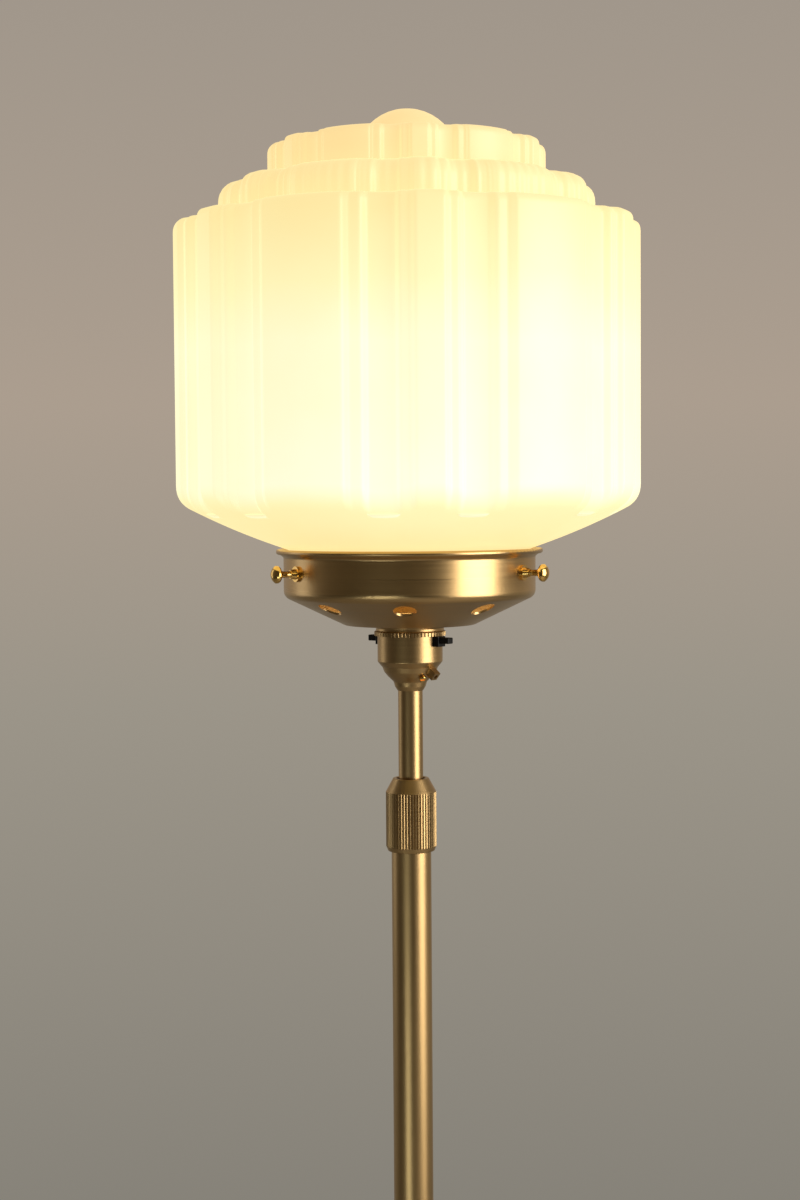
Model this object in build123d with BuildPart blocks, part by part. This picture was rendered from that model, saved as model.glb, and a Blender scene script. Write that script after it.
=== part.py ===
from build123d import *
import os
from math import cos, radians, sin

# Floor lamp: a stepped opal glass shade in a brass gallery, on a bayonet lampholder with a push-bar
# switch, on a telescopic brass pole with a knurled clamp collar and a weighted round base.
# Millimetres. Origin on the floor on the pole's axis, +Z up, the front of the lamp towards -Y.

# ---- driving dimensions -------------------------------------------------------------------------
FIT = 0.05                      # radial clearance of a running fit

# base
PAD_R = 144.5                   # rubber pad under the base
PAD_H = 3.0
BASE_R = 145.0                  # outer radius of the base cover
SHEET = 1.2                     # thickness of the spun brass
RIM_TOP = 17.0                  # height of the base cover's upright rim
WEIGHT_R = 139.0                # cast iron weight inside the cover
WEIGHT_TOP = 16.5
SEAT_Z = 22.5                   # where the lower tube stands on the weight's boss
SEAT_R = 42.0
STUD_R = 5.0                    # hollow M10 stud that holds pole and base together
STUD_BORE = 3.2
NUT_POCKET_R = 17.0
NUT_POCKET_TOP = 12.0
COVER_HOLE_R = 14.0             # hole at the middle of the base cover
COVER_TOP = 32.0
INLET_Z = 9.5                   # height of the cable inlet in the back of the rim
INLET_R = 3.6

# pole
LOWER_R = 11.0                  # lower tube, outside
LOWER_BORE = 9.8
LOWER_TOP = 1010.0
UPPER_R = 6.8                   # upper tube, outside
UPPER_BORE = 5.8
UPPER_FOOT = 682.0
COLLAR_LOW = 992.9              # knurled clamp collar
COLLAR_TOP = 1033.3
COLLAR_R = 14.0

# lampholder
NECK_Z = 1082.0                 # bottom of the lampholder's neck
HOLDER_R = 18.0
RING_LOW = 1112.6               # clamp ring between the lampholder's two halves
RING_TOP = 1118.6
RING_R = 19.75
SKIRT_R = 14.2                  # threaded skirt that goes up through the gallery
SKIRT_BORE = 11.4
SKIRT_TOP = 1147.0
SWITCH_Z = 1110.4               # centre line of the push bar
SWITCH_TURN = -90 + 53.5        # direction of the bar in plan
BAR_HALF = 27.5
BAR_W = 4.8
BAR_H = 3.3

# gallery
FLOOR_Z = RING_TOP
GALLERY_R = 69.4
SHOULDER_Z = 1134.6             # where the gallery's cone meets its wall
GALLERY_WALL = 1.0
RIM_R = 73.5
RIM_Z = 1159.2
SCREW_Z = 1148.0
SCREW_TURNS = (-30, 90, -150)   # directions of the three thumb screws in plan
VENT_R = 6.2
VENT_CIRCLE = 57.5
VENT_TURN = -92.9

# bulb
CAP_R = 11.0
CAP_Z = 1129.65
BULB_R = 30.0
BULB_Z = 1203.0
PIN_Z = 1137.5
PIN_TURN = 20.0

# glass shade
GLASS_WALL = 3.2
NECK_R = 64.5
NECK_LOW = 1137.4
CLUSTERS = 6                    # the plan repeats six times round the shade
CLUSTER_TURN = -90 + 4.8        # direction of the first rib in plan
RIB_HALF = 3.9                  # half angles, in degrees, of rib, step and flute round a cluster's middle
STEP_IN_HALF = 7.4
FLUTE_HALF = 15.2
STEP_OUT_HALF = 19.3
DOME_R = 29.0                   # ball-shaped finial
DOME_FOOT = 1379.0
TOP_Z = 1400.0


# ---- helpers ------------------------------------------------------------------------------------
def turn(outline, radii=None, arc=360, start=0, mode=Mode.ADD):
    """Turn a closed outline of (radius, height) points about the pole's axis, in the part being built.

    radii rounds each corner; arc and start limit the solid to a sector of the circle, in degrees.
    """
    plane = Plane.XZ.rotated((0, 0, start))
    with BuildSketch(plane) as section:
        with BuildLine():
            if radii:
                FilletPolyline(*outline, radius=radii, close=True)
            else:
                Polyline(*outline, close=True)
        make_face()
    revolve(section.sketch, axis=Axis.Z, revolution_arc=arc, mode=mode)


def post(radius, low, high, x=0.0, y=0.0, mode=Mode.ADD):
    """Add an upright round bar to the part being built."""
    with Locations((x, y, low)):
        Cylinder(radius, high - low, align=(Align.CENTER, Align.CENTER, Align.MIN), mode=mode)


def knurl(radius, low, high, count, width):
    """Cut upright V grooves round the rim of the part being built."""
    with BuildSketch(Plane.XY.offset(low)) as grooves:
        with PolarLocations(radius, count):
            Rectangle(width, width, rotation=45)
    extrude(grooves.sketch, amount=high - low, mode=Mode.SUBTRACT)


def save(builder, label):
    """Label a finished piece and write it."""
    builder.part.label = label
    export_step(builder.part, f"parts/{label}.step")


os.makedirs("parts", exist_ok=True)

# ---- base ---------------------------------------------------------------------------------------
with BuildPart() as base_pad:
    post(PAD_R, 0, PAD_H)
    post(NUT_POCKET_R, 0, PAD_H, mode=Mode.SUBTRACT)
    fillet(base_pad.edges().group_by(Axis.Z)[0].sort_by(SortBy.RADIUS)[-1], radius=1.0)
save(base_pad, "base_pad")

with BuildPart() as base_weight:
    turn(
        [(STUD_R + 0.2, NUT_POCKET_TOP), (NUT_POCKET_R, NUT_POCKET_TOP), (NUT_POCKET_R, PAD_H),
         (WEIGHT_R, PAD_H), (WEIGHT_R, WEIGHT_TOP), (SEAT_R + 6, WEIGHT_TOP), (SEAT_R, SEAT_Z),
         (STUD_R + 0.2, SEAT_Z)],
        [0, 0, 0, 1, 5, 3, 3, 0],
    )
    # channel for the flex, from the cable inlet to the hollow stud
    with Locations((0, WEIGHT_R / 2, PAD_H)):
        Box(10, WEIGHT_R + 20, 10.6, align=(Align.CENTER, Align.CENTER, Align.MIN), mode=Mode.SUBTRACT)
save(base_weight, "base_weight")

with BuildPart() as base_cover:
    turn(
        [(BASE_R, PAD_H), (BASE_R, RIM_TOP), (134, 20.5), (50, 25.2), (23, COVER_TOP),
         (COVER_HOLE_R, COVER_TOP), (COVER_HOLE_R, COVER_TOP - SHEET), (22.6, COVER_TOP - SHEET),
         (49.7, 24.0), (133.7, 19.3), (BASE_R - SHEET, RIM_TOP - 0.8), (BASE_R - SHEET, PAD_H)],
        [0, 4, 8, 20, 5, 0, 0, 4, 21, 7, 3, 0],
    )
    with Locations(Location((0, BASE_R, INLET_Z), (90, 0, 0))):
        Cylinder(4.8, 12, mode=Mode.SUBTRACT)
save(base_cover, "base_cover")

with BuildPart() as cable_grommet:
    with Locations(Location((0, BASE_R, INLET_Z), (90, 0, 0))):
        Cylinder(4.8, 9)
    with Locations(Location((0, BASE_R - SHEET - 2.3, INLET_Z), (90, 0, 0))):
        Cylinder(5.7, 2.2)
    post(BASE_R, 0, 30, mode=Mode.INTERSECT)
    with Locations(Location((0, BASE_R, INLET_Z), (90, 0, 0))):
        Cylinder(INLET_R, 20, mode=Mode.SUBTRACT)
save(cable_grommet, "cable_grommet")

with BuildPart() as pole_stud:
    post(STUD_R, 5.0, 44.0)
    post(STUD_BORE, 5.0, 44.0, mode=Mode.SUBTRACT)
save(pole_stud, "pole_stud")

with BuildPart() as stud_washer:
    post(15.0, 10.4, NUT_POCKET_TOP)
    post(STUD_R + 0.2, 10.4, NUT_POCKET_TOP, mode=Mode.SUBTRACT)
save(stud_washer, "stud_washer")

with BuildPart() as stud_nut:
    with BuildSketch(Plane.XY.offset(5.6)):
        RegularPolygon(9.5, 6)
        Circle(STUD_R, mode=Mode.SUBTRACT)
    extrude(amount=4.8)
    chamfer(stud_nut.edges().filter_by(GeomType.LINE).group_by(Axis.Z)[0], length=0.5)
save(stud_nut, "stud_nut")

with BuildPart() as pole_foot_plug:
    post(LOWER_BORE, SEAT_Z, 52.0)
    post(STUD_R, SEAT_Z, 44.0, mode=Mode.SUBTRACT)
    post(STUD_BORE, 44.0, 52.0, mode=Mode.SUBTRACT)
save(pole_foot_plug, "pole_foot_plug")

with BuildPart() as pole_foot_ring:
    turn(
        [(LOWER_R, 27.5), (COVER_HOLE_R - 0.1, 27.5), (COVER_HOLE_R - 0.1, COVER_TOP), (18.5, COVER_TOP),
         (18.5, 36.0), (13.6, 42.5), (13.6, 46.0), (LOWER_R, 46.0)],
        [0, 0, 0, 1, 1.2, 3, 1, 0],
    )
save(pole_foot_ring, "pole_foot_ring")

# ---- pole ---------------------------------------------------------------------------------------
with BuildPart() as lower_tube:
    post(LOWER_R, SEAT_Z, LOWER_TOP)
    post(LOWER_BORE, SEAT_Z, LOWER_TOP, mode=Mode.SUBTRACT)
save(lower_tube, "lower_tube")

with BuildPart() as threaded_ferrule:
    turn(
        [(LOWER_R, 997.0), (12.2, 997.0), (12.2, 1018.0), (9.8, 1018.0), (9.0, 1016.6), (9.0, LOWER_TOP),
         (LOWER_R, LOWER_TOP)],
        [0, 0.4, 0.4, 0, 0, 0, 0],
    )
save(threaded_ferrule, "threaded_ferrule")

COLLET_BORE = UPPER_R + FIT
with BuildPart() as split_collet:
    turn(
        [(COLLET_BORE, 1006.0), (8.9, 1006.0), (8.9, 1018.0), (10.8, 1018.0), (10.8, 1020.4), (10.2, 1020.9),
         (8.6, 1028.8), (COLLET_BORE, 1028.8)],
    )
    # four slots let the collet close on the upper tube
    with BuildSketch(Plane.XY.offset(1012.0)):
        with Locations((0, 0), Location((0, 0, 0), (0, 0, 90))):
            Rectangle(24, 1.0)
    extrude(amount=20, mode=Mode.SUBTRACT)
save(split_collet, "split_collet")

with BuildPart() as thrust_ring:
    post(8.9, 1029.1, 1030.5)
    post(7.2, 1029.1, 1030.5, mode=Mode.SUBTRACT)
save(thrust_ring, "thrust_ring")

with BuildPart() as knurled_collar:
    turn(
        [(LOWER_R + 0.2, COLLAR_LOW), (13.0, COLLAR_LOW), (COLLAR_R, 995.5), (COLLAR_R, 1025.7),
         (9.85, COLLAR_TOP), (8.0, COLLAR_TOP), (8.0, 1030.9), (9.3, 1030.9), (9.3, 1029.0),
         (12.35, 1019.6), (12.35, 996.0), (LOWER_R + 0.2, 996.0)],
        [0, 0.4, 0, 0, 0.5, 0.3, 0, 0, 0, 0, 0, 0],
    )
    knurl(COLLAR_R, 995.5, 1025.7, 52, 0.75)
save(knurled_collar, "knurled_collar")

with BuildPart() as upper_tube:
    post(UPPER_R, UPPER_FOOT, NECK_Z)
    post(STUD_R, NECK_Z, NECK_Z + 7.0)
    post(UPPER_BORE, UPPER_FOOT, NECK_Z - 6.0, mode=Mode.SUBTRACT)
    post(STUD_BORE, NECK_Z - 6.0, NECK_Z + 7.0, mode=Mode.SUBTRACT)
save(upper_tube, "upper_tube")

with BuildPart() as guide_bush:
    post(LOWER_BORE - 0.08, UPPER_FOOT + 3.3, UPPER_FOOT + 17.0)
    post(UPPER_R + FIT, UPPER_FOOT + 3.3, UPPER_FOOT + 17.0, mode=Mode.SUBTRACT)
    chamfer(guide_bush.edges().filter_by(GeomType.CIRCLE).sort_by(SortBy.RADIUS)[-2:], length=0.8)
save(guide_bush, "guide_bush")

with BuildPart() as tube_stop_ring:
    post(8.8, UPPER_FOOT + 17.3, UPPER_FOOT + 22.0)
    post(UPPER_R, UPPER_FOOT + 17.3, UPPER_FOOT + 22.0, mode=Mode.SUBTRACT)
save(tube_stop_ring, "tube_stop_ring")

with BuildPart() as tube_end_cap:
    post(8.8, UPPER_FOOT - 2.0, UPPER_FOOT + 3.0)
    post(UPPER_R, UPPER_FOOT, UPPER_FOOT + 3.0, mode=Mode.SUBTRACT)
    post(4.0, UPPER_FOOT - 2.0, UPPER_FOOT, mode=Mode.SUBTRACT)
save(tube_end_cap, "tube_end_cap")

# ---- lampholder ---------------------------------------------------------------------------------
switch_plane = Plane.XY.rotated((0, 0, SWITCH_TURN))
BLOCK_W = 6.9
BLOCK_LOW = 1107.0
BLOCK_OUT = 21.7

with BuildPart() as holder_body:
    turn(
        [(STUD_R, NECK_Z), (7.1, NECK_Z), (8.5, 1084.3), (9.3, 1087.0), (12.4, 1090.0), (14.3, 1092.3),
         (15.5, 1095.3), (15.9, 1095.6), (HOLDER_R, 1098.2), (HOLDER_R, RING_LOW), (16.8, RING_LOW),
         (16.8, 1099.2), (14.0, 1096.4), (11.2, 1091.6), (8.2, 1089.0), (STUD_R, 1089.0)],
        [0, 0.4, 3, 1.5, 3, 3, 0, 0, 1, 0, 0, 1, 1, 1, 0.5, 0],
    )
    # windows in the rim for the switch's guide blocks
    with BuildSketch(switch_plane.offset(BLOCK_LOW)):
        Rectangle(2 * HOLDER_R + 8, BLOCK_W + 0.1)
    extrude(amount=20, mode=Mode.SUBTRACT)
save(holder_body, "holder_body")

with BuildPart() as switch_housing:
    post(16.6, 1104.6, RING_LOW)
    with BuildSketch(switch_plane.offset(BLOCK_LOW)):
        Rectangle(2 * BLOCK_OUT, BLOCK_W)
    extrude(amount=RING_LOW - BLOCK_LOW)
    vertical = switch_housing.edges().filter_by(Axis.Z).sort_by(SortBy.DISTANCE)[-4:]
    fillet(vertical, radius=0.7)
    # passage for the bar
    with BuildSketch(switch_plane.offset(SWITCH_Z - BAR_H / 2 - 0.15)):
        Rectangle(2 * BLOCK_OUT + 4, BAR_W + 0.3)
    extrude(amount=BAR_H + 0.3, mode=Mode.SUBTRACT)
    # holes for the terminal screws and the wires between them
    for side in (-1, 1):
        post(1.2, 1104.6, 1107.6, y=side * 8, mode=Mode.SUBTRACT)
    post(2.5, 1104.6, SWITCH_Z, mode=Mode.SUBTRACT)
save(switch_housing, "switch_housing")

with BuildPart() as switch_bar:
    with BuildSketch(switch_plane.offset(SWITCH_Z - BAR_H / 2)):
        RectangleRounded(2 * BAR_HALF, BAR_W, 0.7)
    extrude(amount=BAR_H)
    chamfer(switch_bar.faces().filter_by(Axis.Z).edges(), length=0.3)
save(switch_bar, "switch_bar")

with BuildPart() as terminal_screws:
    for side in (-1, 1):
        post(2.2, 1102.8, 1104.6, y=side * 8)
        post(1.2, 1104.6, 1107.6, y=side * 8)
    with BuildSketch(Plane.XY.offset(1102.8)):
        with Locations((0, -8), (0, 8)):
            Rectangle(5, 0.7)
    extrude(amount=0.8, mode=Mode.SUBTRACT)
save(terminal_screws, "terminal_screws")

with BuildPart() as clamp_ring:
    turn(
        [(17.2, RING_LOW), (RING_R, RING_LOW), (RING_R, 1114.7), (18.9, 1115.3), (18.8, 1116.7),
         (19.3, 1117.5), (19.3, RING_TOP), (SKIRT_R, RING_TOP), (SKIRT_R, 1114.8), (17.2, 1114.8)],
        [0, 0, 0, 0.5, 0.6, 0, 0, 0, 0, 0],
    )
    knurl(RING_R, RING_LOW, 1114.7, 60, 0.55)
    knurl(19.3, 1117.5, RING_TOP, 60, 0.5)
save(clamp_ring, "clamp_ring")

with BuildPart() as holder_skirt:
    turn(
        [(SKIRT_BORE, 1112.8), (17.0, 1112.8), (17.0, 1114.8), (SKIRT_R, 1114.8), (SKIRT_R, SKIRT_TOP),
         (SKIRT_BORE, SKIRT_TOP)],
        [0, 0, 0, 0, 0.5, 0.5],
    )
    # two L-shaped bayonet slots: down from the mouth, then round to where the pins lock
    for side in (0, 180):
        lock = PIN_TURN + side
        pin_plane = Plane.XY.rotated((0, 0, lock - 30)).offset(PIN_Z - 4.2)
        with BuildSketch(pin_plane):
            with Locations((12.8, 0)):
                Rectangle(6, 2.6)
        extrude(amount=20, mode=Mode.SUBTRACT)
        turn(
            [(10.5, PIN_Z - 4.2), (15.0, PIN_Z - 4.2), (15.0, PIN_Z + 1.1), (10.5, PIN_Z + 1.1)],
            arc=36, start=lock - 30, mode=Mode.SUBTRACT,
        )
save(holder_skirt, "holder_skirt")

PLUNGER_X = 5.6
with BuildPart() as contact_insert:
    post(SKIRT_BORE, 1112.8, 1126.5)
    for side in (-1, 1):
        post(2.6, 1113.8, 1126.5, x=side * PLUNGER_X, mode=Mode.SUBTRACT)
    with BuildSketch(Plane.XY.offset(1124.5)):
        Rectangle(2.0, 30)
    extrude(amount=5, mode=Mode.SUBTRACT)
save(contact_insert, "contact_insert")

with BuildPart() as contact_plungers:
    for side in (-1, 1):
        post(2.5, 1120.0, 1124.2, x=side * PLUNGER_X)
        post(1.9, 1124.2, CAP_Z - 0.05, x=side * PLUNGER_X)
    fillet(contact_plungers.edges().filter_by(GeomType.CIRCLE).group_by(Axis.Z)[-1], radius=0.6)
save(contact_plungers, "contact_plungers")

with BuildPart() as contact_springs:
    for side in (-1, 1):
        with BuildLine():
            coil = Helix(pitch=1.1, height=5.3, radius=1.9, center=(side * PLUNGER_X, 0, 1114.2))
        with BuildSketch(Plane(coil @ 0, z_dir=coil % 0)):
            Circle(0.3)
        sweep()
save(contact_springs, "contact_springs")

# earth terminal on the neck: a square post with a hole in its end, and a small screw beside it
def neck_plane(azimuth, radius, height, slope):
    """Plane on the neck at a direction in plan, facing outwards and down by slope degrees."""
    out = Vector(cos(radians(azimuth)), sin(radians(azimuth)), 0)
    face = out * cos(radians(slope)) + Vector(0, 0, -sin(radians(slope)))
    return Plane(origin=out * radius + Vector(0, 0, height), x_dir=Vector(0, 0, 1).cross(out), z_dir=face)


earth_plane = neck_plane(-90 + 50, 13.9, 1093.9, 40)
with BuildPart() as earth_post:
    with BuildSketch(earth_plane):
        Rectangle(4.8, 4.8)
    extrude(amount=5.6)
    fillet(earth_post.edges().filter_by(Axis(earth_plane.origin, earth_plane.z_dir)), radius=0.4)
    turn(
        [(0, 1080), (9.3, 1087.0), (12.4, 1090.0), (14.3, 1092.3), (15.5, 1095.3), (15.9, 1095.6),
         (16.6, 1096.4), (16.6, 1110), (0, 1110)],
        mode=Mode.SUBTRACT,
    )
    with BuildSketch(earth_plane.offset(5.6)):
        Circle(1.3)
    extrude(amount=-2.6, mode=Mode.SUBTRACT)
save(earth_post, "earth_post")

screw_plane = neck_plane(-90 + 31, 12.2, 1090.3, 40)
with BuildPart() as earth_screw:
    with BuildSketch(screw_plane.offset(0.9)):
        Circle(1.9)
    extrude(amount=1.6)
    fillet(earth_screw.edges().filter_by(GeomType.CIRCLE).sort_by(Axis(screw_plane.origin,
           screw_plane.z_dir))[-1], radius=0.6)
    with BuildSketch(screw_plane.offset(0.9)):
        Circle(1.0)
    extrude(amount=-0.6)
    with BuildSketch(screw_plane.offset(2.5)):
        Rectangle(5, 0.5)
    extrude(amount=-0.7, mode=Mode.SUBTRACT)
save(earth_screw, "earth_screw")

# ---- gallery ------------------------------------------------------------------------------------
CONE_R = 36.0
with BuildPart() as gallery:
    turn(
        [(SKIRT_R, FLOOR_Z), (CONE_R, FLOOR_Z), (GALLERY_R, SHOULDER_Z), (GALLERY_R, 1156.2),
         (72.0, RIM_Z - 1.0), (72.0, RIM_Z + 0.2), (GALLERY_R - GALLERY_WALL, 1157.0),
         (GALLERY_R - GALLERY_WALL, SHOULDER_Z + 0.6), (CONE_R - 0.2, FLOOR_Z + 1.1), (SKIRT_R, FLOOR_Z + 1.1)],
        [0, 3, 5, 1.6, 0, 0, 2.4, 4, 3, 0],
    )
    # rolled bead round the mouth
    with BuildSketch(Plane.XZ):
        with Locations((RIM_R - 1.5, RIM_Z)):
            Circle(1.5)
    revolve(axis=Axis.Z)
    with BuildSketch(Plane.XY.offset(1100)):
        with PolarLocations(VENT_CIRCLE, 8, start_angle=VENT_TURN):
            Circle(VENT_R)
    extrude(amount=40, mode=Mode.SUBTRACT)
    for direction in SCREW_TURNS:
        with BuildSketch(Plane(origin=(0, 0, SCREW_Z), z_dir=Vector(1, 0, 0).rotate(Axis.Z, direction))):
            Circle(1.9)
        extrude(amount=80, mode=Mode.SUBTRACT)
save(gallery, "gallery")

with BuildPart() as screw_bosses:
    for direction in SCREW_TURNS:
        outward = Plane(origin=(0, 0, SCREW_Z), z_dir=Vector(1, 0, 0).rotate(Axis.Z, direction))
        with BuildSketch(outward.offset(GALLERY_R - 2)):
            Circle(4.2)
        extrude(amount=3.4)
        with BuildSketch(outward.offset(GALLERY_R + 1.4)):
            Circle(2.9)
        extrude(amount=3.0, taper=12)
    post(GALLERY_R, 1100, 1180, mode=Mode.SUBTRACT)
    for direction in SCREW_TURNS:
        outward = Plane(origin=(0, 0, SCREW_Z), z_dir=Vector(1, 0, 0).rotate(Axis.Z, direction))
        with BuildSketch(outward):
            Circle(1.9)
        extrude(amount=80, mode=Mode.SUBTRACT)
save(screw_bosses, "screw_bosses")


HEAD_CENTRE = 79.13             # the domed end of a thumb screw's head: centre from the pole's axis
HEAD_ROUND = 5.67


def thumb_screw(direction, label):
    """Polished thumb screw: shank through the boss, waisted neck and a domed round head."""
    side = Vector(1, 0, 0).rotate(Axis.Z, direction)
    lengthwise = Plane(origin=(0, 0, SCREW_Z), x_dir=side, z_dir=Vector(0, 0, 1).cross(side))
    with BuildPart() as screw:
        with BuildSketch(lengthwise):
            with BuildLine():
                Polyline((64.9, 0), (64.9, 1.5), (65.3, 1.85), (73.0, 1.85), (76.0, 1.6), (79.0, 1.9),
                         (80.6, 4.3), (81.4, 4.7), (HEAD_CENTRE + HEAD_ROUND * cos(radians(56)),
                                                    HEAD_ROUND * sin(radians(56))))
                CenterArc((HEAD_CENTRE, 0), HEAD_ROUND, 0, 56)
                Line((HEAD_CENTRE + HEAD_ROUND, 0), (64.9, 0))
            make_face()
        revolve(axis=Axis((0, 0, SCREW_Z), side))
    save(screw, label)


for direction, label in zip(SCREW_TURNS, ("thumb_screw_right", "thumb_screw_back", "thumb_screw_left")):
    thumb_screw(direction, label)

with BuildPart() as shade_ring:
    turn(
        [(SKIRT_R, 1119.7), (19.5, 1119.7), (19.5, 1121.6), (18.6, 1122.2), (18.6, 1124.0), (19.0, 1125.7),
         (SKIRT_R, 1125.7)],
        [0, 0, 0, 0.5, 0.5, 0.3, 0],
    )
    knurl(19.5, 1119.7, 1121.6, 60, 0.5)
save(shade_ring, "shade_ring")

# ---- bulb ---------------------------------------------------------------------------------------
pin_line = Pos(0, 0, PIN_Z) * Rot(0, 0, PIN_TURN) * Rot(0, 90, 0)
with BuildPart() as bulb_cap:
    turn(
        [(10.2, CAP_Z + 1.4), (CAP_R, CAP_Z + 1.8), (CAP_R, 1156.0), (10.2, 1156.0)],
    )
    with Locations(pin_line):
        Cylinder(1.0, 40, mode=Mode.SUBTRACT)
save(bulb_cap, "bulb_cap")

with BuildPart() as bulb_pins:
    with Locations(pin_line):
        Cylinder(1.0, 27.0)
    post(10.2, 1100, 1180, mode=Mode.SUBTRACT)
save(bulb_pins, "bulb_pins")

with BuildPart() as bulb_insulator:
    post(10.2, CAP_Z + 0.8, CAP_Z + 4.5)
    chamfer(bulb_insulator.edges().group_by(Axis.Z)[0], length=0.8)
    for side in (-1, 1):
        post(2.9, CAP_Z, CAP_Z + 2.0, x=side * PLUNGER_X, mode=Mode.SUBTRACT)
save(bulb_insulator, "bulb_insulator")

with BuildPart() as bulb_contacts:
    for side in (-1, 1):
        post(2.9, CAP_Z, CAP_Z + 2.0, x=side * PLUNGER_X)
save(bulb_contacts, "bulb_contacts")


def envelope(thick, low, mode):
    """Solid of the bulb's outline, shrunk by thick, open below at low."""
    ball = BULB_R - thick
    with BuildSketch(Plane.XZ) as section:
        with BuildLine():
            Line((0, low), (10.1 - thick, low))
            Line((10.1 - thick, low), (10.1 - thick, 1157.0))
            Spline((10.1 - thick, 1157.0), (ball * cos(radians(35)), BULB_Z - ball * sin(radians(35))),
                   tangents=((0, 1), (sin(radians(35)), cos(radians(35)))))
            CenterArc((0, BULB_Z), ball, -35, 125)
            Line((0, BULB_Z + ball), (0, low))
        make_face()
    revolve(section.sketch, axis=Axis.Z, mode=mode)


with BuildPart() as bulb_envelope:
    envelope(0, 1140.0, Mode.ADD)
    envelope(0.8, 1139.0, Mode.SUBTRACT)
save(bulb_envelope, "bulb_envelope")

# ---- glass shade --------------------------------------------------------------------------------
# Each tier: outer radius, depth of its flutes, height and radius where its top meets the tier above,
# slope of its top, and how far its broken upper edge reaches in and down.
TIERS = (
    {"r": 127.5, "flute": 7.5, "top_r": 103.0, "top_z": 1338.5, "slope": 0.03, "in": 2.2, "down": 2.4},
    {"r": 103.0, "flute": 6.0, "top_r": 76.0, "top_z": 1359.0, "slope": 0.03, "in": 5.0, "down": 5.0},
    {"r": 76.0, "flute": 4.6, "top_r": 26.0, "top_z": 1380.5, "slope": 0.02, "in": 2.2, "down": 2.4},
)
CONE_KNEE_R = 95.0              # the shade's underside is two gentle cones that meet here
CONE_KNEE_Z = 1170.3
CONE_INNER = 0.355
CONE_OUTER = 0.50
BELLY_IN = 4.5                  # broken edge between the underside and the wall
BELLY_UP = 6.0
POCKET_EDGE = 1.8               # degrees of wall left beside the pocket behind each panel


def underside(radius):
    """Height of the shade's conical underside."""
    slope = CONE_OUTER if radius > CONE_KNEE_R else CONE_INNER
    return CONE_KNEE_Z + slope * (radius - CONE_KNEE_R)


def top_of(tier, radius):
    """Height of a tier's sloping top."""
    return tier["top_z"] - tier["slope"] * (radius - tier["top_r"])


def envelope_outline(inset):
    """Outline that the whole shade is turned to, moved inwards by inset, with its edges broken."""
    neck = NECK_R - inset
    belly = TIERS[0]["r"] - inset
    points = [(0, NECK_LOW - 3 * inset), (neck, NECK_LOW - 3 * inset), (neck, underside(neck) + 1.1 * inset),
              (CONE_KNEE_R, CONE_KNEE_Z + 1.1 * inset),
              (belly - BELLY_IN, underside(belly - BELLY_IN) + 1.1 * inset),
              (belly, underside(belly) + 1.1 * inset + BELLY_UP)]
    for tier in TIERS:
        rim = tier["r"] - inset
        edge = rim - tier["in"]
        points.append((rim, top_of(tier, rim) - inset - tier["down"]))
        points.append((edge, top_of(tier, edge) - inset))
        points.append((tier["top_r"] - inset, top_of(tier, tier["top_r"] - inset) - inset))
    points[-1] = (0, TIERS[-1]["top_z"] - inset)
    return points


def tier_plan(bands, height):
    """Face of a tier in plan; bands holds (end angle, radius) from one cluster's start to its end."""
    with BuildSketch(Plane.XY.offset(height)) as plan:
        with BuildLine():
            for place in range(CLUSTERS):
                middle = CLUSTER_TURN + place * 360 / CLUSTERS
                start = -180 / CLUSTERS
                for number, (end, radius) in enumerate(bands):
                    CenterArc((0, 0), radius, middle + start, end - start)
                    if number + 1 < len(bands):
                        edge = radians(middle + end)
                        following = bands[number + 1][1]
                        Line((radius * cos(edge), radius * sin(edge)),
                             (following * cos(edge), following * sin(edge)))
                    start = end
        make_face()
    return plan.sketch


def outer_bands(tier):
    """Panel, step, flute, step, rib and back again: the moulded plan of the outside."""
    rim = tier["r"]
    step = rim - tier["flute"] / 2
    flute = rim - tier["flute"]
    return ((-STEP_OUT_HALF, rim), (-FLUTE_HALF, step), (-STEP_IN_HALF, flute), (-RIB_HALF, step),
            (RIB_HALF, rim), (STEP_IN_HALF, step), (FLUTE_HALF, flute), (STEP_OUT_HALF, step),
            (180 / CLUSTERS, rim))


def inner_bands(tier):
    """Plan of the hollow: a pocket behind each panel keeps the wall even."""
    rim = tier["r"] - GLASS_WALL
    flute = rim - tier["flute"]
    edge = STEP_OUT_HALF + POCKET_EDGE
    return ((-edge, rim), (edge, flute), (180 / CLUSTERS, rim))


def shade_form(bands_of, inset):
    """Closed form of the shade: the turned envelope, cut to the plan of each tier."""
    with BuildPart() as form:
        foot = NECK_LOW - 4 * inset - 1
        for tier in TIERS:
            top = tier["top_z"] - inset
            extrude(tier_plan(bands_of(tier), foot), amount=top - foot)
            foot = top - 8
        turn(envelope_outline(inset), mode=Mode.INTERSECT)
    return form.part


with BuildPart() as glass_shade:
    add(shade_form(outer_bands, 0))
    # ball-shaped finial
    with BuildSketch(Plane.XZ) as finial:
        with BuildLine():
            CenterArc((0, TOP_Z - DOME_R), DOME_R, 25, 65)
            Polyline((0, TOP_Z), (0, DOME_FOOT), (DOME_R * cos(radians(25)), DOME_FOOT),
                     (DOME_R * cos(radians(25)), TOP_Z - DOME_R + DOME_R * sin(radians(25))))
        make_face()
    revolve(finial.sketch, axis=Axis.Z)
    add(shade_form(inner_bands, GLASS_WALL), mode=Mode.SUBTRACT)
save(glass_shade, "glass_shade")
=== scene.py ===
"""Looks for the floor lamp: a detailed opal glass shade, brass finishes, studio light and camera."""
from math import atan2, cos, degrees, exp, pi, radians, sin

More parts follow.
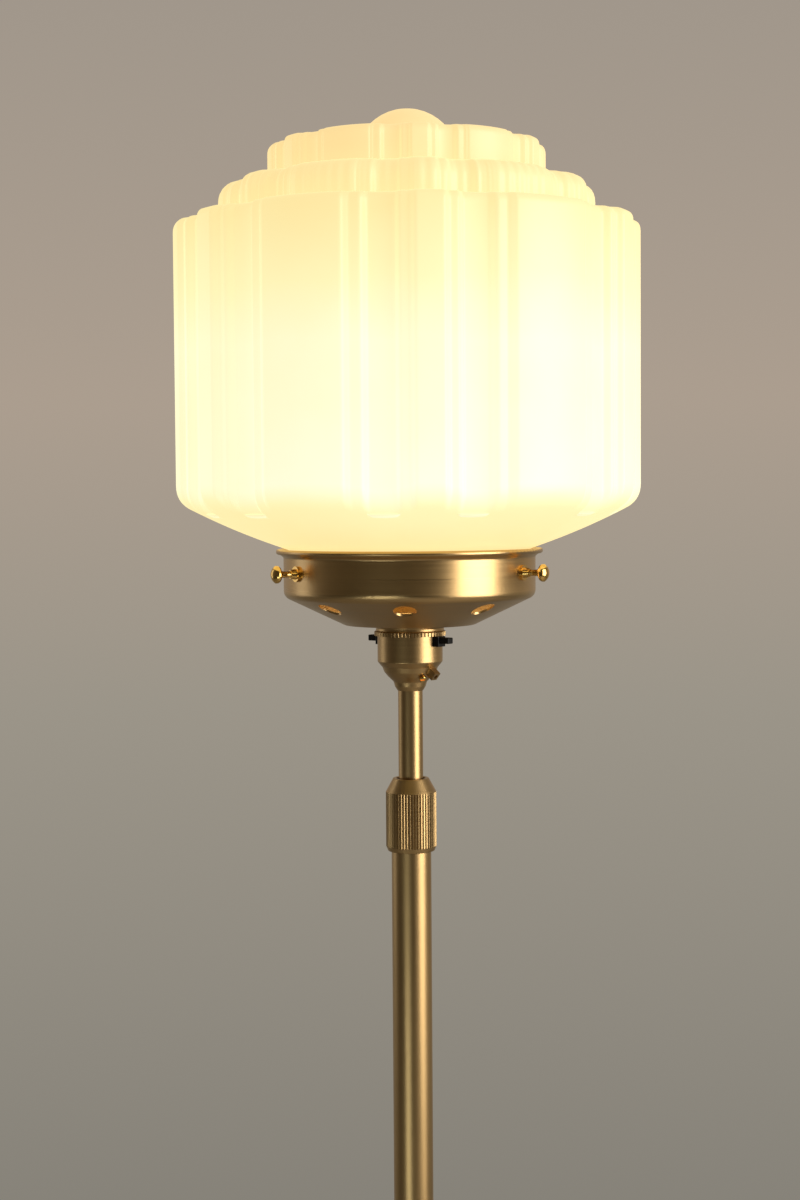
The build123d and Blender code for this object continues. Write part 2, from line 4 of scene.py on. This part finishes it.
import bmesh
import bpy
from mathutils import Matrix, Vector


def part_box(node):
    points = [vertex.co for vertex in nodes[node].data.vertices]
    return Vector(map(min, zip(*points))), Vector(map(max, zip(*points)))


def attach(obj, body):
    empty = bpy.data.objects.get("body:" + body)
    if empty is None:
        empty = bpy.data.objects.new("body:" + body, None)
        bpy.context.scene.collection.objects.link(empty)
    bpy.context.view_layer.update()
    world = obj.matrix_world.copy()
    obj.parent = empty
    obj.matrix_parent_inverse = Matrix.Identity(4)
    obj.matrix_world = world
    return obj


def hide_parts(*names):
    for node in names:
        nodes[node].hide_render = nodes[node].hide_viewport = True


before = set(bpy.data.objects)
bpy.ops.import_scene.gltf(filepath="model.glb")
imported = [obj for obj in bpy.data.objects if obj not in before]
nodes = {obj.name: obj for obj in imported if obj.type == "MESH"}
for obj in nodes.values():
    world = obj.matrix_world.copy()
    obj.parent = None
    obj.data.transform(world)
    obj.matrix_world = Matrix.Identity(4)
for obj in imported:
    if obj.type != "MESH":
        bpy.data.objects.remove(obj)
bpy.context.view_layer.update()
scene = bpy.context.scene
scene.view_settings.view_transform = "Standard"

MM = 0.001


# ---- places read from the frame -----------------------------------------------------------------
def low(name):
    return Vector(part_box(name)[0])


def high(name):
    return Vector(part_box(name)[1])


glass_low = low("glass_shade")
glass_high = high("glass_shade")
BULB_RADIUS = 30 * MM
bulb_middle = Vector((0, 0, high("bulb_envelope").z - BULB_RADIUS))


# ---- node helpers -------------------------------------------------------------------------------
class Shader:
    """A material under construction: short ways to add and link nodes."""

    def __init__(self, name):
        self.material = bpy.data.materials.new(name)
        self.material.use_nodes = True
        self.tree = self.material.node_tree
        self.tree.nodes.clear()
        self.out = self.add("ShaderNodeOutputMaterial")

    def add(self, kind, **settings):
        node = self.tree.nodes.new(kind)
        for key, value in settings.items():
            if hasattr(node, key):
                setattr(node, key, value)
            else:
                node.inputs[key.replace("_", " ")].default_value = value
        return node

    def link(self, source, target):
        self.tree.links.new(source, target)

    def place(self, scale=(1, 1, 1)):
        """Object coordinates, stretched by scale."""
        coords = self.add("ShaderNodeTexCoord")
        mapping = self.add("ShaderNodeMapping")
        mapping.inputs["Scale"].default_value = scale
        self.link(coords.outputs["Object"], mapping.inputs["Vector"])
        return mapping.outputs["Vector"]

    def noise(self, vector, scale, detail=3.0, roughness=0.5):
        node = self.add("ShaderNodeTexNoise")
        node.inputs["Scale"].default_value = scale
        node.inputs["Detail"].default_value = detail
        node.inputs["Roughness"].default_value = roughness
        self.link(vector, node.inputs["Vector"])
        return node.outputs["Fac"]

    def ramp(self, value, *stops):
        """Colour ramp through (position, colour) stops."""
        node = self.add("ShaderNodeValToRGB")
        elements = node.color_ramp.elements
        while len(elements) < len(stops):
            elements.new(0.5)
        for element, (position, colour) in zip(elements, stops):
            element.position = position
            element.color = (*colour, 1)
        self.link(value, node.inputs["Fac"])
        return node.outputs["Color"]

    def span(self, value, start, end, new_start, new_end):
        node = self.add("ShaderNodeMapRange")
        for socket, number in zip(("From Min", "From Max", "To Min", "To Max"),
                                  (start, end, new_start, new_end)):
            node.inputs[socket].default_value = number
        self.link(value, node.inputs["Value"])
        return node.outputs["Result"]

    def bump(self, height, strength, distance, normal=None):
        node = self.add("ShaderNodeBump")
        node.inputs["Strength"].default_value = strength
        node.inputs["Distance"].default_value = distance
        self.link(height, node.inputs["Height"])
        if normal is not None:
            self.link(normal, node.inputs["Normal"])
        return node.outputs["Normal"]

    def surface(self, **values):
        """Principled shader with plain values set on its sockets, linked to the output."""
        node = self.add("ShaderNodeBsdfPrincipled")
        for key, value in values.items():
            node.inputs[key.replace("_", " ")].default_value = value
        self.link(node.outputs["BSDF"], self.out.inputs["Surface"])
        return node


# ---- materials ----------------------------------------------------------------------------------
def shade_of(colour, factor):
    """A colour made darker or lighter."""
    return tuple(min(1.0, c * factor) for c in colour)


def brass(name, tone, roughness, stretch, grain, metal_bump=0.06, worn=0.12):
    """Brass with a directional brushed grain, cloudy tarnish and brighter rubbed spots.

    stretch scales the grain's coordinates: a small value along an axis makes scratches that way.
    """
    s = Shader(name)
    body = s.surface(Metallic=1.0)
    cloud = s.noise(s.place(), 22.0, 5.0, 0.6)
    fine = s.noise(s.place(stretch), grain, 4.0, 0.65)
    tarnished = shade_of(tone, 1 - worn)
    rubbed = shade_of(tone, 1 + worn * 0.6)
    tint = s.ramp(cloud, (0.30, tarnished), (0.55, tone), (0.80, rubbed))
    streaks = s.ramp(fine, (0.25, shade_of(tone, 0.86)), (0.75, shade_of(tone, 1.08)))
    mix = s.add("ShaderNodeMix", data_type="RGBA")
    mix.inputs["Factor"].default_value = 0.45
    s.link(tint, mix.inputs[6])
    s.link(streaks, mix.inputs[7])
    s.link(mix.outputs[2], body.inputs["Base Color"])
    s.link(s.span(fine, 0.2, 0.8, roughness - 0.05, roughness + 0.07), body.inputs["Roughness"])
    s.link(s.bump(fine, metal_bump, 0.0004), body.inputs["Normal"])
    return s.material


def plain(name, colour, roughness, metallic=0.0, scale=60.0, contrast=0.12, bump=0.1, **extra):
    """Solid stuff with mottled colour and a fine surface grain."""
    s = Shader(name)
    body = s.surface(Metallic=metallic, **extra)
    mottle = s.noise(s.place(), scale, 6.0, 0.6)
    grain = s.noise(s.place(), scale * 18, 3.0, 0.5)
    dark = tuple(c * (1 - contrast) for c in colour)
    pale = tuple(min(1.0, c * (1 + contrast) + 0.004) for c in colour)
    s.link(s.ramp(mottle, (0.3, dark), (0.7, pale)), body.inputs["Base Color"])
    s.link(s.span(mottle, 0.3, 0.7, max(roughness - 0.06, 0.02), roughness + 0.06), body.inputs["Roughness"])
    s.link(s.bump(grain, bump, 0.0003), body.inputs["Normal"])
    return s.material


UNEVENNESS = 0.035              # how much clouds in the opal glass change its glow


def opal(name):
    """Pressed opal glass, lit from inside: its glow follows how much of the bulb's light each spot gets."""
    s = Shader(name)
    body = s.surface(Roughness=0.40, IOR=1.45, Emission_Strength=1.0)
    glow = s.add("ShaderNodeAttribute", attribute_name="glow")
    cloud = s.noise(s.place(), 9.0, 4.0, 0.55)
    uneven = s.add("ShaderNodeMath", operation="ADD")
    s.link(s.span(cloud, 0.25, 0.75, -UNEVENNESS, UNEVENNESS), uneven.inputs[0])
    s.link(glow.outputs["Fac"], uneven.inputs[1])
    # painted light: the emission colour stands in for the bulb's light shining through the glass, and the
    # lowest dark-brown stops are the painted shade on the neck inside the gallery
    light = s.ramp(
        uneven.outputs["Value"],
        (0.00, (0.08, 0.025, 0.005)), (0.10, (0.22, 0.08, 0.015)), (0.16, (0.93, 0.66, 0.29)),
        (0.32, (0.95, 0.77, 0.35)), (0.48, (0.96, 0.87, 0.46)), (0.62, (0.97, 0.94, 0.62)),
        (0.76, (0.98, 0.98, 0.82)),
    )
    s.link(light, body.inputs["Emission Color"])
    milk = s.ramp(cloud, (0.3, (0.24, 0.21, 0.16)), (0.7, (0.28, 0.25, 0.19)))
    s.link(milk, body.inputs["Base Color"])
    ripple = s.noise(s.place((1, 1, 0.35)), 26.0, 3.0, 0.5)
    s.link(s.bump(ripple, 0.12, 0.0012), body.inputs["Normal"])
    return s.material


def lamp_glass(name):
    """Frosted bulb, glowing."""
    s = Shader(name)
    body = s.surface(Roughness=0.5, Emission_Strength=9.0)
    cloud = s.noise(s.place(), 40.0)
    s.link(s.ramp(cloud, (0.3, (1.0, 0.80, 0.50)), (0.7, (1.0, 0.86, 0.58))), body.inputs["Emission Color"])
    s.link(s.ramp(cloud, (0.3, (0.8, 0.78, 0.72)), (0.7, (0.86, 0.84, 0.8))), body.inputs["Base Color"])
    return s.material


TONE = (0.50, 0.335, 0.15)
UPRIGHT = (90, 90, 1.2)         # scratches along the pole
ROUND = (1.5, 1.5, 260)         # scratches round the axis

MATERIALS = {
    "pole_brass": brass("pole_brass", TONE, 0.36, UPRIGHT, 3.0),
    "turned_brass": brass("turned_brass", TONE, 0.34, ROUND, 3.0),
    "spun_brass": brass("spun_brass", (0.58, 0.39, 0.175), 0.30, ROUND, 4.0),
    "base_brass": brass("base_brass", TONE, 0.36, (40, 40, 40), 2.0),
    "bright_brass": brass("bright_brass", (0.86, 0.55, 0.17), 0.14, (60, 60, 60), 6.0, 0.03, 0.2),
    "opal_glass": opal("opal_glass"),
    "bulb_glass": lamp_glass("bulb_glass"),
    "black_moulding": plain("black_moulding", (0.004, 0.004, 0.004), 0.42, scale=120, bump=0.2,
                            Specular_IOR_Level=0.25),
    "porcelain": plain("porcelain", (0.80, 0.78, 0.72), 0.22, Coat_Weight=0.5),
    "nylon": plain("nylon", (0.035, 0.035, 0.035), 0.5),
    "rubber": plain("rubber", (0.02, 0.02, 0.02), 0.8, bump=0.4),
    "iron": plain("iron", (0.09, 0.09, 0.095), 0.7, 0.3, bump=0.8),
    "steel": plain("steel", (0.55, 0.55, 0.57), 0.35, 1.0),
    "aluminium": plain("aluminium", (0.70, 0.70, 0.72), 0.3, 1.0),
    "solder": plain("solder", (0.55, 0.55, 0.55), 0.4, 1.0),
    "black_glass": plain("black_glass", (0.01, 0.01, 0.012), 0.1),
}

DRESS = {
    "pole_brass": ("lower_tube", "upper_tube"),
    "turned_brass": ("knurled_collar", "threaded_ferrule", "holder_body", "clamp_ring", "shade_ring",
                     "holder_skirt", "pole_foot_ring", "earth_post"),
    "spun_brass": ("gallery",),
    "base_brass": ("base_cover",),
    "bright_brass": ("thumb_screw_right", "thumb_screw_back", "thumb_screw_left", "screw_bosses",
                     "earth_screw", "terminal_screws", "contact_plungers"),
    "bulb_glass": ("bulb_envelope",),
    "black_moulding": ("switch_bar", "switch_housing"),
    "porcelain": ("contact_insert",),
    "nylon": ("split_collet", "guide_bush", "tube_end_cap"),
    "rubber": ("base_pad", "cable_grommet"),
    "iron": ("base_weight",),
    "steel": ("pole_foot_plug", "pole_stud", "stud_washer", "stud_nut", "thrust_ring", "tube_stop_ring",
              "contact_springs"),
    "aluminium": ("bulb_cap", "bulb_pins"),
    "solder": ("bulb_contacts",),
    "black_glass": ("bulb_insulator",),
}
for material_name, dressed in DRESS.items():
    for name in dressed:
        slots = nodes[name].data.materials
        slots.clear()
        slots.append(MATERIALS[material_name])


# ---- glass shade --------------------------------------------------------------------------------
# The shade is one pressed shell. Every tier repeats the same plan six times: a rib in the middle of a
# cluster, a narrow step, a wide flute, another step, then a wide panel.
CLUSTERS = 6
CLUSTER_TURN = radians(-90 + 4.8)
RIB_HALF, STEP_IN, FLUTE_HALF, STEP_OUT = 3.9, 7.4, 15.2, 19.3
RISER = 1.9                     # degrees over which one level blends into the next
CROWN = 0.9 * MM                # how much a panel bulges over its edges
SCOOP = 0.9 * MM                # how much a flute is hollowed
WALL = 3.2 * MM
TIERS = (
    {"r": 127.5 * MM, "flute": 7.5 * MM, "top_r": 103 * MM, "top_z": 1338.5 * MM, "slope": 0.03,
     "edge": 5.5 * MM},
    {"r": 103.0 * MM, "flute": 6.0 * MM, "top_r": 76 * MM, "top_z": 1359.0 * MM, "slope": 0.03,
     "edge": 10.5 * MM},
    {"r": 76.0 * MM, "flute": 4.6 * MM, "top_r": 25 * MM, "top_z": 1380.5 * MM, "slope": 0.02,
     "edge": 4.5 * MM},
)
NECK = 64.5 * MM
KNEE_R, KNEE_Z = 95 * MM, 1170.3 * MM
BELLY = 9 * MM                  # roundness between the underside and the wall
DOME = 29 * MM                  # radius of the ball-shaped finial
DOME_FOOT = 26.3 * MM
DOME_STEPS = 9
OUTER_COLUMNS = 960             # columns of faces round the outside and the inside of the shell
INNER_COLUMNS = 192
REEDS = 108                     # fine reeds round the middle tier
REED_DEPTH = 0.55 * MM
GALLERY_MOUTH = 1158 * MM
LEAST_GLOW = 0.2                # on the finial and the tops, which the bulb reaches least
NECK_GLOW = 0.11                # the neck lies in the shadow of the gallery and the cap
GLOW_SHIFT = Vector((10, -26, 22)) * MM     # middle of the glow, seen from the middle of the bulb
FULL_GLOW = 125 * MM            # distance at which the bulb lights the glass fully
CAP_SHADOW = 0.62               # how much the bulb's cap dims the underside
SPILL = 0.14                    # light that reaches every spot
SCATTER = 0.88                  # how far the milk in the glass evens out its slopes


def smooth(value):
    value = min(max(value, 0.0), 1.0)
    return value * value * (3 - 2 * value)


def level(angle):
    """How deep the plan is cut at an angle: 0 on ribs and panels, 0.5 on steps, 1 in the flutes."""
    turn = degrees(angle - CLUSTER_TURN) % (360 / CLUSTERS)
    turn = min(turn, 360 / CLUSTERS - turn)
    depth = 0.0
    for edge, rise in ((RIB_HALF, 0.5), (STEP_IN, 0.5), (FLUTE_HALF, -0.5), (STEP_OUT, -0.5)):
        depth += rise * smooth((turn - edge) / RISER + 0.5)
    return depth, turn


def radius_at(tier, angle, reeded=False):
    """Outer radius of a tier's wall at an angle."""
    depth, turn = level(angle)
    radius = tier["r"] - tier["flute"] * depth
    if turn > STEP_OUT:
        across = (turn - STEP_OUT) / (180 / CLUSTERS - STEP_OUT)
        radius -= CROWN * (1 - across) ** 2
    elif STEP_IN < turn < FLUTE_HALF:
        across = 2 * (turn - STEP_IN) / (FLUTE_HALF - STEP_IN) - 1
        radius -= SCOOP * (1 - across * across)
    if reeded:
        radius -= REED_DEPTH * (0.5 - 0.5 * cos(REEDS * angle))
    return radius


def underside(radius):
    """Height of the shade's conical underside."""
    slope = 0.50 if radius > KNEE_R else 0.355
    return KNEE_Z + slope * (radius - KNEE_R)


def top_of(tier, radius):
    return tier["top_z"] - tier["slope"] * (radius - tier["top_r"])


def arc_between(corner, before, after, size, count):
    """Points of a rounding of a corner, between the lines to the points before and after it."""
    to_before = (before - corner).normalized()
    to_after = (after - corner).normalized()
    size = min(size, (before - corner).length * 0.9, (after - corner).length * 0.9)
    start = corner + to_before * size
    end = corner + to_after * size
    points = []
    for step in range(count + 1):
        t = step / count
        points.append(start * (1 - t) ** 2 + corner * 2 * t * (1 - t) + end * t * t)
    return points


def profile(angle, inset):
    """Outline of the shell at an angle, from its neck to the top, moved inwards by inset."""
    walls = [radius_at(tier, angle, number == 1 and inset == 0) - inset for number, tier in enumerate(TIERS)]
    neck = NECK - inset
    lift = 1.1 * inset
    # each corner: its place as (radius, height), the size of its rounding and the steps across that
    corners = [
        (Vector((neck, glass_low.z)), 0, 0),
        (Vector((neck, underside(neck) + lift)), 3 * MM, 4),
        (Vector((KNEE_R, KNEE_Z + lift)), 22 * MM, 8),
        (Vector((walls[0], underside(walls[0]) + lift)), BELLY, 9),
    ]
    for number, tier in enumerate(TIERS):
        wall = walls[number]
        corners.append((Vector((wall, top_of(tier, wall) - inset)), tier["edge"], 7))
        if number < 2:
            inner = walls[number + 1]
            corners.append((Vector((inner, top_of(tier, inner) - inset)), 2.5 * MM, 4))
    foot = DOME_FOOT - inset
    corners.append((Vector((foot, TIERS[-1]["top_z"] - inset)), 1.2 * MM, 3))
    points = [corners[0][0], corners[0][0].lerp(corners[1][0], 0.5)]
    for number in range(1, len(corners)):
        corner, size, count = corners[number]
        before = corners[number - 1][0]
        if number + 1 < len(corners):
            after = corners[number + 1][0]
        else:
            after = Vector((foot - 1.5 * MM, corner.y + 3 * MM))
        points.extend(arc_between(corner, before, after, size, count))
        if number in (3, 4):    # the long runs up the wall and over the first top get a point halfway
            points.append(points[-1].lerp(after, 0.5))
    ball = DOME - inset
    centre = glass_high.z - DOME
    tilt = atan2(points[-1].y - centre, points[-1].x)
    for step in range(1, DOME_STEPS):
        climb = tilt + (pi / 2 - tilt) * step / DOME_STEPS
        points.append(Vector((ball * cos(climb), centre + ball * sin(climb))))
    return points


def lit(place, normal):
    """Share of the bulb's light that a spot of the glass gets, from 0 to 1."""
    away = place - bulb_middle - GLOW_SHIFT
    distance = away.length
    away /= distance
    outward = Vector((place.x, place.y, 0)).normalized() if place.xy.length > 5 * MM else Vector((0, 0, 1))
    scattered = normal.lerp(outward, SCATTER).normalized()
    facing = max(scattered.dot(away), 0.0)
    level_with_bulb = 0.40 + 0.60 * (1 - away.z * away.z) ** 3
    downwards = max(-normal.z, 0.0)
    glow = facing * (FULL_GLOW / distance) ** 1.2 * level_with_bulb * (1 - CAP_SHADOW * downwards)
    if place.z < GALLERY_MOUTH:
        return NECK_GLOW
    return max(1 - exp(-glow - SPILL), LEAST_GLOW)


def build_shell():
    """Mesh of the glass: a fine outer skin, a coarser inner one and the rim of the neck between them."""
    mesh = bmesh.new()

    def skin(count, inset):
        """Turn the outline round into faces, and return its rows of vertices."""
        rows = []
        for column in range(count):
            angle = 2 * pi * column / count
            line = profile(angle, inset)
            rows.append([mesh.verts.new((q.x * cos(angle), q.x * sin(angle), q.y)) for q in line])
        top = mesh.verts.new((0, 0, glass_high.z - inset))
        for column in range(count):
            here, there = rows[column], rows[(column + 1) % count]
            for row in range(len(here) - 1):
                quad = (here[row], there[row], there[row + 1], here[row + 1])
                mesh.faces.new(quad if inset == 0 else quad[::-1])
            tip = (here[-1], there[-1], top)
            mesh.faces.new(tip if inset == 0 else tip[::-1])
        return rows

    outside = skin(OUTER_COLUMNS, 0.0)
    inside = skin(INNER_COLUMNS, WALL)
    ratio = OUTER_COLUMNS // INNER_COLUMNS
    for column in range(INNER_COLUMNS):
        following = (column + 1) % INNER_COLUMNS
        rim = [outside[(column * ratio + k) % OUTER_COLUMNS][0] for k in range(ratio + 1)]
        mesh.faces.new([inside[column][0], inside[following][0]] + rim[::-1])
    mesh.normal_update()
    data = bpy.data.meshes.new("shade_glass")
    mesh.to_mesh(data)
    mesh.free()
    for polygon in data.polygons:
        polygon.use_smooth = True
    glow = data.attributes.new("glow", "FLOAT", "POINT")
    for vertex in data.vertices:
        glow.data[vertex.index].value = lit(vertex.co, vertex.normal)
    return data


shell = bpy.data.objects.new("shade_glass", build_shell())
scene.collection.objects.link(shell)
shell.data.materials.append(MATERIALS["opal_glass"])
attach(shell, "shade")
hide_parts("glass_shade")

# ---- floor, light and camera --------------------------------------------------------------------
FLOOR_RADIUS = 1.7
floor_mesh = bmesh.new()
bmesh.ops.create_circle(floor_mesh, cap_ends=True, radius=FLOOR_RADIUS, segments=96)
floor_data = bpy.data.meshes.new("floor")
floor_mesh.to_mesh(floor_data)
floor_mesh.free()
floor = bpy.data.objects.new("floor", floor_data)
scene.collection.objects.link(floor)
floor_paint = plain("floor_paint", (0.46, 0.44, 0.41), 0.8, scale=3.0, contrast=0.04, bump=0.02)
floor.data.materials.append(floor_paint)

world = bpy.data.worlds.new("studio")
scene.world = world
world.use_nodes = True
tree = world.node_tree
backdrop = tree.nodes["Background"]


def world_node(kind, *sources, **settings):
    """Add a node to the world and link sources to its first inputs."""
    node = tree.nodes.new(kind)
    for key, value in settings.items():
        setattr(node, key, value)
    for socket, source in enumerate(sources):
        if isinstance(source, (int, float)):
            node.inputs[socket].default_value = source
        elif source is not None:
            tree.links.new(source, node.inputs[socket])
    return node


def world_ramp(value, stops):
    """Colour ramp over a direction from -1 to 1."""
    half = world_node("ShaderNodeMath", value, 0.5, 0.5, operation="MULTIPLY_ADD")
    node = world_node("ShaderNodeValToRGB", half.outputs[0])
    elements = node.color_ramp.elements
    while len(elements) < len(stops):
        elements.new(0.5)
    for element, (position, colour) in zip(elements, stops):
        element.position = position / 2 + 0.5
        element.color = (*colour, 1)
    return node.outputs["Color"]


direction = world_node("ShaderNodeTexCoord").outputs["Generated"]
axes = world_node("ShaderNodeSeparateXYZ", direction).outputs
heights = world_ramp(axes["Z"], (
    (-0.45, (0.20, 0.19, 0.165)), (-0.10, (0.33, 0.30, 0.25)), (0.05, (0.41, 0.34, 0.275)),
    (0.30, (0.34, 0.30, 0.255))))
sides = world_ramp(axes["Y"], (
    (-0.60, (0.17, 0.16, 0.14)), (-0.10, (0.28, 0.27, 0.26)), (0.45, (0.75, 0.75, 0.75)), (0.80, (1, 1, 1))))
tint = world_node("ShaderNodeVectorMath", heights, sides, operation="MULTIPLY")
tree.links.new(tint.outputs["Vector"], backdrop.inputs["Color"])


def softbox(name, azimuth, distance, height, size, power, colour):
    """Rectangular area light, aimed at the pole; azimuth counts from the front towards the right."""
    data = bpy.data.lights.new(name, "AREA")
    data.shape = "RECTANGLE"
    data.size, data.size_y = size
    data.energy = power
    data.color = colour
    light = bpy.data.objects.new(name, data)
    place = Vector((sin(radians(azimuth)), -cos(radians(azimuth)), 0)) * distance
    light.location = place + Vector((0, 0, height))
    light.rotation_euler = (-place).to_track_quat("-Z", "Y").to_euler()
    scene.collection.objects.link(light)


softbox("key", 62, 1.7, 1.30, (1.15, 1.7), 30, (1.0, 0.95, 0.88))
softbox("fill", -112, 1.9, 1.35, (0.7, 1.6), 2.5, (0.97, 0.98, 1.0))
softbox("low", -28, 1.7, 0.25, (0.9, 0.4), 3, (0.93, 1.0, 0.95))

PITCH_DOWN = 2.90               # degrees
ROLL = 0.4
CAMERA_RIGHT = -5.0 * MM        # the camera's place: right of the pole, in front of it, under the glass top
CAMERA_FRONT = 1.085
CAMERA_UNDER_TOP = 213.0 * MM
camera_data = bpy.data.cameras.new("camera")
camera_data.sensor_width = 36.0
camera_data.lens = 59.0
camera = bpy.data.objects.new("camera", camera_data)
camera.location = (CAMERA_RIGHT, -CAMERA_FRONT, glass_high.z - CAMERA_UNDER_TOP)
camera.rotation_euler = (radians(90 - PITCH_DOWN), radians(ROLL), 0)
scene.collection.objects.link(camera)
scene.camera = camera
